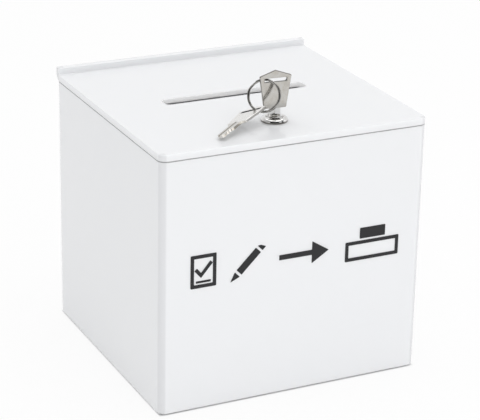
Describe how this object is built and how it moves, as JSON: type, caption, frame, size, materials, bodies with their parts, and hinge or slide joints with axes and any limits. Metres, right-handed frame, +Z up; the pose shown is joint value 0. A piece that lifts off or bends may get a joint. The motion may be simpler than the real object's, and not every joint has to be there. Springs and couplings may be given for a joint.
{
  "type": "lockable ballot box",
  "caption": "White acrylic ballot box with a hinged lid, a paper slot and a cam lock with its keys on a split ring",
  "frame": {"origin": "on the surface the feet stand on, under the middle of the whole footprint, hinge included", "axes": "+X right across the front, +Y from the front towards the hinge at the back, +Z up"},
  "size_m": [0.2, 0.195, 0.2245],
  "materials": {
    "white_acrylic": "polished opaque white acrylic sheet",
    "soft_pad": "matt self-adhesive pad",
    "hinge_wire": "drawn stainless wire",
    "lock_plating": "bright nickel-chrome plating",
    "plug_metal": "satin-bright plated zinc",
    "wafer_brass": "stamped brass",
    "cam_steel": "zinc-plated steel",
    "key_metal": "satin nickel-plated brass",
    "ring_wire": "polished flat spring wire",
    "sign_film": "dark grey self-adhesive film",
    "clear_cement": "set clear acrylic cement"
  },
  "bodies": {
    "box": {"wall_wrap": "white_acrylic", "base_panel": "white_acrylic", "foot_front_left": "soft_pad", "foot_front_right": "soft_pad", "foot_back_left": "soft_pad", "foot_back_right": "soft_pad", "catch_block": "white_acrylic", "hinge_leaf_lower": "white_acrylic", "hinge_pin": "hinge_wire"},
    "lid": {"lid": "white_acrylic", "hinge_leaf_upper": "white_acrylic", "lock_housing": "lock_plating", "lock_washer": "lock_plating", "lock_nut": "lock_plating"},
    "lock_plug": {"lock_plug": "plug_metal", "wafer_1": "wafer_brass", "wafer_2": "wafer_brass", "wafer_3": "wafer_brass", "wafer_4": "wafer_brass", "wafer_5": "wafer_brass", "stop_washer": "cam_steel", "cam": "cam_steel", "cam_washer": "cam_steel", "cam_screw": "cam_steel"},
    "lock_key": {"lock_key": "key_metal"},
    "split_ring": {"split_ring": "ring_wire"},
    "spare_key": {"spare_key": "key_metal"}
  },
  "joints": [
    {"name": "lid_hinge", "type": "hinge", "parent": "box", "child": "lid", "pos_m": [0, 0.09505, 0.18375], "axis": [-1, 0, 0], "range_deg": [0, 165]},
    {"name": "plug_turn", "type": "hinge", "parent": "lid", "child": "lock_plug", "pos_m": [-0.0004, -0.06205, 0.18], "axis": [0, 0, 1], "range_deg": [-84.5, 5.5]},
    {"name": "key_slide", "type": "slide", "parent": "lock_plug", "child": "lock_key", "axis": [0, 0, 1], "range_m": [0, 0.016]},
    {"name": "ring_swing", "type": "hinge", "parent": "lock_key", "child": "split_ring", "pos_m": [-0.0055, -0.06148, 0.21758], "axis": [-0.6707, 0.7367, 0.0866], "range_deg": [0, 75]},
    {"name": "spare_key_swing", "type": "hinge", "parent": "split_ring", "child": "spare_key", "pos_m": [-0.01553, -0.06503, 0.19875], "axis": [-0.5668, 0.7728, 0.2854], "range_deg": [0, 60]}
  ]
}
